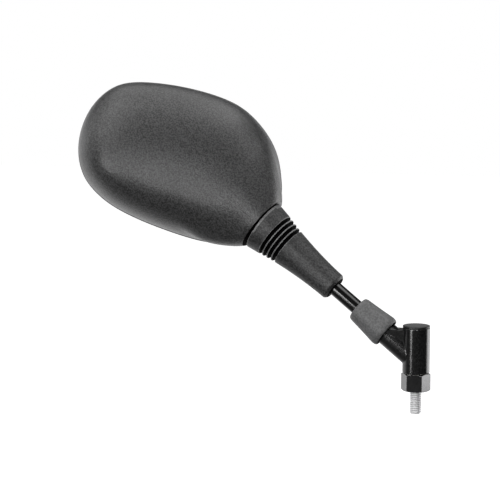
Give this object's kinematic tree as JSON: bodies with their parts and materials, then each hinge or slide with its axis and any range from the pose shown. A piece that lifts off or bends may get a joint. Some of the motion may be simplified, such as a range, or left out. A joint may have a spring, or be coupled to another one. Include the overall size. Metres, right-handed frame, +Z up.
{
  "type": "motorcycle mirror",
  "caption": "Handlebar mirror with a rounded black head on a ball joint, a rubber boot over the stem, a nut cover, and a swivel knuckle on a hexagonal base with a threaded stud.",
  "frame": {"origin": "on the stud axis, at the seat of the hexagon base", "axes": "+Z runs up the stud and knuckle barrel, the stem leans towards -X, the moulded back of the head faces -Y and the glass faces +Y"},
  "size_m": [0.2455, 0.084, 0.2171],
  "materials": {
    "gloss_black": "gloss black stove enamel over cast and turned steel",
    "zinc_steel": "bright zinc plate",
    "spring_steel": "oiled spring steel",
    "textured_black": "black plastic with a fine moulded grain",
    "boot_rubber": "matt black rubber",
    "cover_rubber": "matt dark grey rubber",
    "seat_plastic": "natural white slippery plastic",
    "inner_plastic": "smooth black plastic",
    "foam": "closed-cell foam",
    "mirror_face": "silvered flat glass"
  },
  "bodies": {
    "base": {"hex_base": "gloss_black", "pivot_bolt": "zinc_steel", "thrust_washer": "seat_plastic"},
    "arm": {"knuckle": "gloss_black", "pivot_cap": "gloss_black", "spring_washers": "spring_steel", "plain_washer": "zinc_steel", "stem_rod": "gloss_black", "lock_washer": "spring_steel", "lock_nut": "zinc_steel", "stem_boot": "boot_rubber"},
    "cover": {"nut_cover": "cover_rubber"},
    "cradle": {"seat_ring": "seat_plastic"},
    "socket": {"seat_cup": "seat_plastic"},
    "head": {"rear_housing": "textured_black", "clamp_plate": "zinc_steel", "clamp_screws": "zinc_steel", "glass_carrier": "inner_plastic", "foam_pad": "foam", "mirror_glass": "mirror_face", "glass_seal": "boot_rubber"}
  },
  "joints": [
    {"name": "base_swivel", "type": "hinge", "parent": "base", "child": "arm", "pos_m": [0, 0, 0], "axis": [0, 0, 1], "continuous": true},
    {"name": "cover_slide", "type": "slide", "parent": "arm", "child": "cover", "axis": [-0.788, 0, 0.6157], "range_m": [0, 0.018]},
    {"name": "head_tilt", "type": "hinge", "parent": "arm", "child": "cradle", "pos_m": [-0.11663, 0, 0.11192], "axis": [0, 1, 0], "range_deg": [-12, 12], "deforming": ["stem_boot"]},
    {"name": "head_swing", "type": "hinge", "parent": "cradle", "child": "socket", "pos_m": [-0.11663, 0, 0.11192], "axis": [0.6157, 0, 0.788], "range_deg": [-12, 12], "deforming": ["stem_boot"]},
    {"name": "head_turn", "type": "hinge", "parent": "socket", "child": "head", "pos_m": [-0.11663, 0, 0.11192], "axis": [-0.788, 0, 0.6157], "continuous": true}
  ]
}
